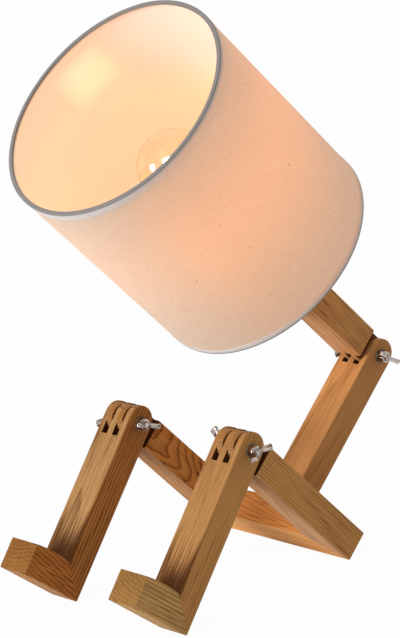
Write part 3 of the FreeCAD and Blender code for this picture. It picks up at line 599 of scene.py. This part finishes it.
# The cable enters the back of the neck through a soft black bush. A zinc
# plated threaded tube with a thin nut joins the neck to the lampholder.
HEAD = axes(JOINT["neck_tilt"], ACROSS, NECK_BACK)
HOLDER_START = 118.0
INLET = 90.0
rubber = Paint("black_rubber", base_color=ink(34, 33, 32))
dust = rubber.cloud(rubber.spot, 900, 3.0)
rubber.set(base_color=rubber.mix((dust + 0.5).kept(), ink(24, 24, 24), ink(54, 52, 50)),
           roughness=dust * 0.2 + 0.62)
rubber.bump(dust, 0.05 * MM, 0.4)
bush = lathe([(3.0, 4.55), (3.9, 4.55), (3.95, 5.0), (3.95, 9.75), (5.4, 9.75), (5.85, 9.95),
              (6.0, 10.4), (5.9, 10.85), (5.55, 11.2), (5.0, 11.25), (4.3, 11.22), (3.7, 11.1),
              (3.25, 10.8), (3.0, 10.3), (3.0, 4.55)], 64)
inlet_way = Matrix.Rotation(-math.pi / 2, 4, "X")
finished(put(bush, HEAD @ Matrix.Translation((0, 0, INLET * MM)) @ inlet_way), "cable_bush", rubber, "head",
         ["cable_grommet"])

zinc = metal("zinc_plate", ink(188, 190, 190), ink(150, 152, 150), 0.30, 520)
TUBE_R = 5.0
TUBE_BORE = 3.5
TUBE_START = 104.05
TUBE_END = 122.2
TUBE_PITCH = 1.0
tube_rows = straight((TUBE_R, TUBE_START), (TUBE_R, TUBE_END), 110)
tube = lathe([(TUBE_BORE, TUBE_START)] + tube_rows + [
    (TUBE_R, TUBE_END), (TUBE_BORE, TUBE_END), (TUBE_BORE, TUBE_START)], 48)
thread(tube, TUBE_START - 0.05, TUBE_END + 0.1, TUBE_PITCH, 0.3)
finished(put(tube, HEAD), "nipple_threaded", zinc, "head", ["threaded_nipple"])
eased("nipple_locknut", "locknut", zinc, "head", 0.3)

# The lampholder is moulded in white plastic: a domed back with a flange, a
# screwed front with a lip, and inside it the brass shell and the contact block.
plastic = Paint("white_plastic", specular_ior_level=0.5)
mottle = plastic.cloud(plastic.spot, 700, 3.0)
plastic.set(base_color=plastic.mix((mottle + 0.5).kept(), ink(240, 238, 232), ink(230, 227, 219)),
            roughness=mottle * 0.1 + 0.36)
plastic.bump(mottle, 0.03 * MM, 0.3)


def bowed(start, end, bow, count=10):
    """Points between two that bulge to the right of the way from one to the other."""
    out, up = end[0] - start[0], end[1] - start[1]
    length = math.hypot(out, up)
    shares = [k / count for k in range(count + 1)]
    return [(start[0] + out * k + 4 * bow * k * (1 - k) * up / length,
             start[1] + up * k - 4 * bow * k * (1 - k) * out / length) for k in shares]


# Profiles give radius and distance from the neck joint, in millimetres
dome_out = bowed((8.05, HOLDER_START), (21.5, 131.2), 3.3)
dome_in = bowed((7.95, 120.2), (17.7, 131.2), 3.3)[::-1]
dome = lathe([(5.05, HOLDER_START + 0.3), (5.35, HOLDER_START)] + dome_out + [
    (21.5, 141.3), (21.75, 141.8), (22.2, 142.0), (23.2, 142.0), (23.5, 142.3), (23.5, 144.7),
    (23.2, 145.0), (19.85, 145.0), (19.85, 141.5), (17.7, 141.5)] + dome_in + [
    (5.05, 120.2), (5.05, HOLDER_START + 0.3)], 128)
finished(put(dome, HEAD), "holder_dome", plastic, "head", ["holder_cap"])
SKIRT_R = 19.75
SKIRT_BORE = 17.55
SKIRT_START = 141.6
SKIRT_END = 174.4
SKIRT_PITCH = 3.0
skirt_rows = straight((SKIRT_R, SKIRT_START), (SKIRT_R, SKIRT_END), 84)
skirt = lathe([(SKIRT_BORE, SKIRT_START)] + skirt_rows + [
    (SKIRT_R, SKIRT_END), (19.45, 175.1), (18.75, 175.5), (14.9, 175.5), (14.5, 175.1), (14.5, 173.5),
    (SKIRT_BORE, 173.5), (SKIRT_BORE, SKIRT_START)], 128)
thread(skirt, 144, 173.0, SKIRT_PITCH, 0.55, 0.7)
finished(put(skirt, HEAD), "holder_front", plastic, "head", ["holder_skirt"])
brass = metal("brass", ink(214, 178, 104), ink(176, 138, 70), 0.28, 400)
plain(brass, "screw_shell", "centre_contact", "terminal_screws")
plain(plastic, "contact_block")

# A notched plastic ring screws down on the holder and clamps the shade's
# carrier, three wires on a flat hub. A wire ring stiffens each rim.
eased("shade_collar", "collar_ring", plastic, "head", 0.25)
plain(zinc, "shade_spider", "shade_rear_ring")
SHADE_START = 122.8
SHADE_END = 275.8
REAR_R = 74.5
FRONT_R = 75.0
SKIN_T = 0.8
WIRE_R = 0.6


def shade_r(station):
    """The drum's outer radius at a station along the neck."""
    return REAR_R + (FRONT_R - REAR_R) * (station - SHADE_START) / (SHADE_END - SHADE_START)


rim_wire = lathe(arc((FRONT_R - SKIN_T - 0.1 - WIRE_R, SHADE_END - WIRE_R), WIRE_R, 0, 360, 10), 160)
finished(put(rim_wire, HEAD), "front_rim_wire", zinc, "head", ["shade_front_ring"])

# The drum is plain-woven natural linen laminated to a stiff pale liner, rolled
# and lapped at the back. The lit bulb glows through it, most beside the globe.
GLOBE_AT = 212.2
LAP = 9.0
THREADS_ROUND = 760
THREAD_GAP = 0.62
DARK = (0, 0, 0, 1)
LINEN_GLOW = (0.60, 0.17, 0.010, 1)


def out_of_round(turn):
    """How far the drum swells at a turn about its axis, in millimetres."""
    return 0.12 * math.sin(3 * turn + 1.0) + 0.05 * math.sin(8 * turn)


def drum(inner, outer, rows=28, steps=192, lap=0.0):
    """One layer of the drum, with the lapped end standing proud at the back."""
    climb = []
    for k in range(rows + 1):
        station = SHADE_START + (SHADE_END - SHADE_START) * k / rows
        climb.append((shade_r(station) - outer, station))
    back = [(shade_r(station) - inner, station) for station in (SHADE_END, SHADE_START)]
    piece = lathe(climb + back + climb[:1], steps)
    for vertex in piece.data.vertices:
        x, y = vertex.co.x / MM, vertex.co.y / MM
        radius, turn = math.hypot(x, y), math.atan2(y, x)
        swell = out_of_round(turn)
        if 0 < (turn - math.pi / 2) * radius < LAP:
            swell += lap
        vertex.co.x *= 1 + swell / radius
        vertex.co.y *= 1 + swell / radius
    return put(piece, HEAD)


def drum_point(paint):
    """Where a point lies on the drum: its turn, its station and how near the bulb is."""
    x, y, station = paint.parts(paint.local(HEAD))
    turn = y.maths("ARCTAN2", x)
    reach = (station - GLOBE_AT * MM) / (REAR_R * MM)
    near = (reach * reach + 1.0) ** -1.5
    return turn, station, near


linen = Paint("natural_linen", sheen_weight=0.15, sheen_roughness=0.5, emission_strength=1.0,
              specular_ior_level=0.2)
turn, station, near = drum_point(linen)
cloth = linen.node("ShaderNodeCombineXYZ", {}, {0: turn * (REAR_R * MM), 1: station})
warp = (turn * float(THREADS_ROUND)).maths("SINE")
weft = (station * (2 * math.pi / (THREAD_GAP * MM))).maths("SINE")
thick = linen.cloud(linen.stretch(cloth, 1500, 120, 1), detail=1.0) + linen.cloud(
    linen.stretch(cloth, 120, 1500, 1), detail=1.0)
speck = linen.cloud(cloth, 430, 1.0)
fleck = speck.between(0.245, 0.285)
cross = linen.cloud(cloth, 900, 3.0, 0.65)
weave = warp * weft * 0.3 + thick * 1.3 + cross * 1.1
base = linen.mix((weave * 0.6 + 0.5).kept(), ink(198, 188, 172), ink(222, 213, 198))
base = linen.mix(fleck * 0.7, base, ink(124, 88, 64))
# The bulb's light through the cloth is painted as emission: most beside the globe, dimmed as painted shadow
# of the wire near the front rim, and weaker on the drum's underside.
rim_shadow = (station * -1.0).between(-SHADE_END * MM, (-SHADE_END + 14) * MM) * 0.35 + 0.65
side = 1.0 - (turn * -1.0).maths("SINE").between(0.6, 1.02) * 0.36
glow = (near * 0.72 + 0.24) * rim_shadow * side * (weave * 0.10 + 1.0) * (fleck * -0.6 + 1.0)
linen.set(base_color=base, roughness=cross * 0.1 + 0.86,
          emission_color=linen.mix(glow.kept(), DARK, LINEN_GLOW))
linen.bump(weave, 0.14 * MM, 0.5)
finished(drum(0.35, 0.0, lap=0.25), "shade_linen", linen, "head", ["shade_skin"])

# Inside, the bulb's light on the liner is painted as emission: brightest beside the globe, dimmer towards
# the front rim, weaker and pinker at the top, more orange on the left, with a painted pool of light on the
# far wall.
LINER_GLOW = (0.44, 0.242, 0.092, 1)
TOP_GLOW = (0.28, 0.085, 0.080, 1)
LEFT_GLOW = (0.34, 0.15, 0.075, 1)
SPOT_GLOW = (0.56, 0.44, 0.20, 1)
SPOT_TURN = math.radians(155)
SPOT_AT = 251
SPOT_R = 18
liner = Paint("pale_liner", emission_strength=1.0, specular_ior_level=0.3)
turn, station, near = drum_point(liner)
speckle = liner.cloud(liner.spot, 900, 2.0)
around = liner.node("ShaderNodeCombineXYZ", {}, {0: turn.maths("COSINE"), 1: turn.maths("SINE")})
top, left_way, spot_way = [
    liner.node("ShaderNodeVectorMath", {"operation": "DOT_PRODUCT"}, {0: around, 1: way}, "Value")
    for way in ((0, 1, 0), (-1, 0, 0), (math.cos(SPOT_TURN), math.sin(SPOT_TURN), 0))]
spot_far = (station - SPOT_AT * MM) / (SPOT_R * MM)
blob = spot_way.between(0.962, 1.0) * (1.0 - spot_far * spot_far).between(0.0, 1.0)
rim_dim = (station * -1.0).between(-SHADE_END * MM, (-SHADE_END + 34) * MM) * 0.16 + 0.84
shine = (near * 0.25 + 0.75) * rim_dim * (speckle * 0.03 + 1.0)
lit = liner.mix(shine.kept(), DARK, LINER_GLOW)
lit = liner.mix(top.between(0.45, 0.95) * station.between(0.19, 0.235) * 0.85, lit, TOP_GLOW)
lit = liner.mix(left_way.between(0.55, 1.0) * 0.42, lit, LEFT_GLOW)
lit = liner.mix(blob * 0.7, lit, SPOT_GLOW)
liner.set(base_color=liner.mix((speckle + 0.5).kept(), ink(236, 230, 220), ink(228, 221, 209)),
          roughness=speckle * 0.1 + 0.7, emission_color=lit)
finished(drum(SKIN_T, 0.36), "shade_liner", liner, "head", ["shade_skin"])

# Woven tape is folded over both rims and glued, outside over the linen and
# inside round the wire. Its free edge wanders a little.
TAPE_IN = 1.6
TAPE_T = 0.25
TAPE_GAP = 0.10
TAPE_GLOW = (0.46, 0.16, 0.03, 1)
tape = Paint("cotton_tape", sheen_weight=0.1, emission_strength=1.0, specular_ior_level=0.2)
turn, station, near = drum_point(tape)
ribs = (turn * 1500.0).maths("SINE")
wander = tape.cloud(tape.spot, 500, 2.0)
half_length = (SHADE_END - SHADE_START) / 2
leg = ((station - (SHADE_START + SHADE_END) / 2 * MM).maths("ABSOLUTE") * -1.0).between(
    -half_length * MM, -(half_length - 4.5) * MM)
low = (turn * -1.0).maths("SINE").between(0.2, 1.0)
tape_x, tape_y = tape.parts(tape.local(HEAD))[:2]
rim_r = (tape_x * tape_x + tape_y * tape_y) ** 0.5
# Painted shade and light on the tape: a painted shadow line along the inner fold, an outer leg painted
# paler on the drum's lower side, and the bulb's light through the outer leg painted as emission.
fold_shadow = (rim_r * -1.0).between(-73.0 * MM, -72.5 * MM) * leg.between(0.05, 0.0)
crest = tape.mix(fold_shadow, ink(150, 144, 141), ink(122, 110, 98))
tape.set(base_color=tape.mix(leg.between(0.0, 0.16), crest,
                             tape.mix(low, ink(204, 190, 180), ink(228, 225, 226))),
         roughness=wander * 0.15 + 0.82,
         emission_color=tape.mix((leg * (near * 0.9 + 0.3) * (1.0 - low * 0.7)).kept(), DARK, TAPE_GLOW))
tape.bump(ribs * 0.4 + wander, 0.08 * MM, 0.5)


def folded_tape(rim, way, wide, name, node):
    """A tape over one rim: rim is its station, and way points back along the drum."""
    inner = shade_r(rim) - SKIN_T - 2 * WIRE_R - 0.15
    over = shade_r(rim) + 0.05
    middle, half = (inner + over) / 2, (over - inner) / 2
    turns = [math.pi * k / 12 for k in range(13)]
    crest = [(middle + (half + TAPE_T) * math.cos(turn),
              rim - way * (TAPE_GAP + TAPE_T) * math.sin(turn) ** 0.7) for turn in turns]
    hem = [(middle - half * math.cos(turn), rim - way * TAPE_GAP * math.sin(turn)) for turn in turns]
    profile = ([(over + TAPE_T * 0.5, rim + way * wide), (over + TAPE_T, rim + way * (wide - 0.3)),
                (over + TAPE_T, rim + way * 1.5)] + crest + [(inner - TAPE_T, rim + way * TAPE_IN)]
               + [(inner, rim + way * TAPE_IN)] + hem + [(over + 0.02, rim + way * wide)])
    piece = lathe(profile + profile[:1], 192)
    for vertex in piece.data.vertices:
        turn = math.atan2(vertex.co.y, vertex.co.x)
        depth = (vertex.co.z / MM - rim) * way
        if depth > 2.0:
            vertex.co.z += way * MM * 0.16 * (math.sin(5 * turn) + 0.6 * math.sin(13 * turn + 2))
        lift = 1 + out_of_round(turn) / FRONT_R
        vertex.co.x *= lift
        vertex.co.y *= lift
    finished(put(piece, HEAD), name, tape, "head", [node], 50)


folded_tape(SHADE_START, 1, 3.8, "rear_tape", "shade_rear_trim")
folded_tape(SHADE_END, -1, 5.2, "front_tape", "shade_front_trim")

# The bulb is a clear golf-ball globe on a nickel screw cap, with a glass stem
# that carries two leads and the coiled filament between them, which is lit.
GLOBE_R = 23.25
GLASS_T = 0.8
FLARE = 38.75
FLARE_R = 24.68
FLARE_X = 37.38
CAP_END = 182.2
clear = Paint("clear_glass", base_color=ink(255, 250, 240), ior=1.45, transmission_weight=1.0)
clear.set(roughness=clear.cloud(clear.spot, 60).between(-0.3, 0.3) * 0.03 + 0.01)
glass_out = (arc((FLARE_X, CAP_END), FLARE_R, 180, 180 - FLARE, 10)
             + arc((0, GLOBE_AT), GLOBE_R, -FLARE, 90, 30)[1:])
glass_in = (arc((0, GLOBE_AT), GLOBE_R - GLASS_T, 90, -FLARE, 30)
            + arc((FLARE_X, CAP_END), FLARE_R + GLASS_T, 180 - FLARE, 180, 10)[1:])
finished(put(lathe(glass_out + glass_in + glass_out[:1], 96), HEAD), "bulb_globe", clear, "head",
         ["bulb_glass"], 60)
STEM_GLOW = (0.9, 0.72, 0.38, 1)
stem = lathe([(0, 180.2), (11.75, 180.2), (11.75, 182.7), (10.5, 183.6), (7.2, 184.3), (4.6, 185.2),
              (3.0, 186.6), (2.2, 188.6), (2.2, 200.5), (3.0, 201.6), (3.0, 202.6), (2.2, 203.2),
              (0, 203.2)], 48)
stem_glass = Paint("stem_glass", base_color=ink(255, 246, 228), ior=1.45, transmission_weight=0.8,
                   emission_strength=1.0)
# The stem's top is painted glowing, as the filament's light in the glass.
stem_at = stem_glass.parts(stem_glass.local(HEAD))[2]
stem_glass.set(roughness=stem_glass.cloud(stem_glass.spot, 200) * 0.06 + 0.06,
               emission_color=stem_glass.mix(stem_at.between(190 * MM, 203 * MM), DARK, STEM_GLOW))
finished(put(stem, HEAD), "glass_stem", stem_glass, "head", ["filament_stem"], 60)
screw = metal("nickel_cap", ink(204, 200, 194), ink(168, 162, 156), 0.22, 300)
CAP_START = 164.2
CAP_R = 13.1
CAP_BORE = 12.4
CAP_PITCH = 3.62
cap = lathe(straight((CAP_R, CAP_START), (CAP_R, CAP_END), 60) + [(CAP_R, CAP_END), (CAP_BORE, CAP_END)]
            + straight((CAP_BORE, CAP_END), (CAP_BORE, CAP_START), 60)[1:]
            + [(CAP_BORE, CAP_START), (CAP_R, CAP_START)], 72)
thread(cap, 165.5, 180.5, CAP_PITCH, 0.85, 0.8)
finished(put(cap, HEAD), "screw_cap", screw, "head", ["bulb_cap"], 60)
insulator = Paint("black_insulator")
swirl = insulator.cloud(insulator.spot, 420, 3.0)
insulator.set(base_color=insulator.mix((swirl + 0.5).kept(), ink(20, 18, 22), ink(44, 40, 42)),
              roughness=swirl * 0.1 + 0.25)
plain(insulator, "bulb_base")

COIL_TURNS = 32
COIL_R = 1.15
COIL_HALF = 11.0
COIL_BACK = 2.2
LEAD_FOOT = 203.0
LEAD_TIP = 213.2
WIRE_THICK = 0.30
LEAD_THICK = 0.40


def closed(piece):
    """Ends filled, doubles merged and faces turned out."""
    only(piece)
    bpy.ops.object.mode_set(mode="EDIT")
    bpy.ops.mesh.select_all(action="SELECT")
    bpy.ops.mesh.remove_doubles(threshold=0.004 * MM)
    bpy.ops.mesh.fill_holes(sides=0)
    bpy.ops.mesh.select_all(action="SELECT")
    bpy.ops.mesh.normals_make_consistent(inside=False)
    bpy.ops.object.mode_set(mode="OBJECT")
    return piece


bpy.ops.object.select_all(action="DESELECT")
bpy.ops.mesh.primitive_circle_add(vertices=8, radius=WIRE_THICK * MM, location=(COIL_R * MM, 0, 0),
                                  rotation=(math.pi / 2, 0, 0))
coil = bpy.context.active_object
bpy.ops.object.transform_apply(location=True, rotation=True, scale=True)
winding = coil.modifiers.new("winding", "SCREW")
winding.screw_offset = 2 * COIL_HALF / COIL_TURNS * MM
winding.iterations = COIL_TURNS
winding.steps = winding.render_steps = 12
bpy.ops.object.modifier_apply(modifier="winding")
for vertex in closed(coil).data.vertices:
    along = vertex.co.z / (COIL_HALF * MM) - 1
    bow = 1 - along * along
    vertex.co = (along * COIL_HALF * MM, vertex.co.x + (COIL_BACK + 1.8 * bow) * MM,
                 vertex.co.y + (LEAD_TIP + 2.4 * bow) * MM)
lit_wire = Paint("lit_tungsten", base_color=ink(255, 214, 150), emission_strength=14.0)
heat = lit_wire.cloud(lit_wire.spot, 300, 1.0)
lit_wire.set(emission_color=lit_wire.mix((heat + 0.5).kept(), (1.0, 0.80, 0.46, 1), (1.0, 0.88, 0.60, 1)))
finished(put(closed(coil), HEAD), "filament_coil", lit_wire, "head", ["filament"], 60)


def lead(way):
    """One stiff wire drawn out from the stem to an end of the coil."""
    points = [(1.2, 0, LEAD_FOOT), (3.0, 0, 206.0), (8.5, 1.2, 211.0), (COIL_HALF, COIL_BACK, LEAD_TIP)]
    bpy.ops.object.select_all(action="DESELECT")
    bpy.ops.mesh.primitive_circle_add(vertices=10, radius=LEAD_THICK * MM, fill_type="NGON",
                                      location=(way * points[0][0] * MM, 0, LEAD_FOOT * MM))
    piece = bpy.context.active_object
    bpy.ops.object.transform_apply(location=True, rotation=True, scale=True)
    bpy.ops.object.mode_set(mode="EDIT")
    for start, end in zip(points, points[1:]):
        bpy.ops.mesh.extrude_region_move(TRANSFORM_OT_translate={
            "value": (way * (end[0] - start[0]) * MM, (end[1] - start[1]) * MM, (end[2] - start[2]) * MM)})
    bpy.ops.object.mode_set(mode="OBJECT")
    return closed(piece)


leads = [lead(1), lead(-1)]
only(leads[0])
leads[1].select_set(True)
bpy.ops.object.join()
finished(put(leads[0], HEAD), "filament_leads", screw, "head", ["filament"], 60)

# The camera stands where the photograph was taken from, a little to the
# figure's left and above, with the frame rolled a few degrees.
CAMERA_TURN = math.radians(48.767)
CAMERA_RISE = math.radians(16.777)
CAMERA_ROLL = math.radians(-6.681)
CAMERA_AWAY = 1.812043
CAMERA_AIM = Vector((0.114676, -0.109887, 0.204502))
FOCUS_PIXELS = 3284.8
FRAME_PIXELS = 638
SENSOR = 36.0

back = Vector((math.sin(CAMERA_TURN) * math.cos(CAMERA_RISE),
               -math.cos(CAMERA_TURN) * math.cos(CAMERA_RISE),
               math.sin(CAMERA_RISE)))
right = Vector((math.cos(CAMERA_TURN), math.sin(CAMERA_TURN), 0))
up = back.cross(right)
rolled_right = right * math.cos(CAMERA_ROLL) + up * math.sin(CAMERA_ROLL)
rolled_up = up * math.cos(CAMERA_ROLL) - right * math.sin(CAMERA_ROLL)
lens = bpy.data.cameras.new("camera")
lens.sensor_fit = "VERTICAL"
lens.sensor_height = SENSOR
lens.lens = FOCUS_PIXELS / FRAME_PIXELS * SENSOR
lens.clip_end = 50
camera = bpy.data.objects.new("camera", lens)
bpy.context.collection.objects.link(camera)
camera.matrix_world = (Matrix.Translation(CAMERA_AIM + back * CAMERA_AWAY)
                       @ Matrix((rolled_right, rolled_up, back)).transposed().to_4x4())
bpy.context.scene.camera = camera

# Floor and light: a white table top without an end, a large soft lamp in
# front of the figure, and an even white room.
bpy.ops.object.select_all(action="DESELECT")
bpy.ops.mesh.primitive_plane_add(size=30, location=(0, 0, 0))
floor = bpy.context.active_object
floor.name = "floor"


def looked_at(nodes):
    """1 where the camera sees the white surroundings, straight on or by way of metal or glass."""
    camera_ray, metal_ray, glass_ray = [nodes.node("ShaderNodeLightPath", output="Is " + kind + " Ray")
                                        for kind in ("Camera", "Glossy", "Transmission")]
    return (camera_ray + metal_ray + glass_ray).kept()


ground = Paint("floor_white", base_color=ink(246, 246, 245), roughness=0.9)
white = ground.node("ShaderNodeEmission", {}, {"Color": (1, 1, 1, 1), "Strength": 1.0})
blend = ground.node("ShaderNodeMixShader", {}, {0: looked_at(ground) * 0.965,
                                                1: Value(ground, ground.shader.outputs[0]), 2: white})
ground.feed(ground.tree.nodes["Material Output"], {"Surface": blend})
floor.data.materials.append(ground.material)

world = bpy.data.worlds.new("room")
bpy.context.scene.world = world
world.use_nodes = True
room = Nodes(world.node_tree)
sky = room.node("ShaderNodeBackground", {}, {"Color": (1.0, 0.99, 0.98, 1), "Strength": 0.54})
bright = room.node("ShaderNodeBackground", {}, {"Color": (1, 1, 1, 1), "Strength": 1.0})
choose = room.node("ShaderNodeMixShader", {}, {0: looked_at(room), 1: sky, 2: bright})
room.feed(room.tree.nodes["World Output"], {"Surface": choose})

lamp = bpy.data.lights.new("key", "AREA")
lamp.shape = "DISK"
lamp.size = 0.9
lamp.energy = 36
stand = bpy.data.objects.new("key", lamp)
bpy.context.collection.objects.link(stand)
stand.location = (-1.05, -2.3, 0.62)
LIT_MIDDLE = Vector((0, 0, 0.15))
stand.rotation_euler = (LIT_MIDDLE - stand.location).to_track_quat("-Z", "Y").to_euler()

bpy.context.scene.view_settings.view_transform = "Standard"
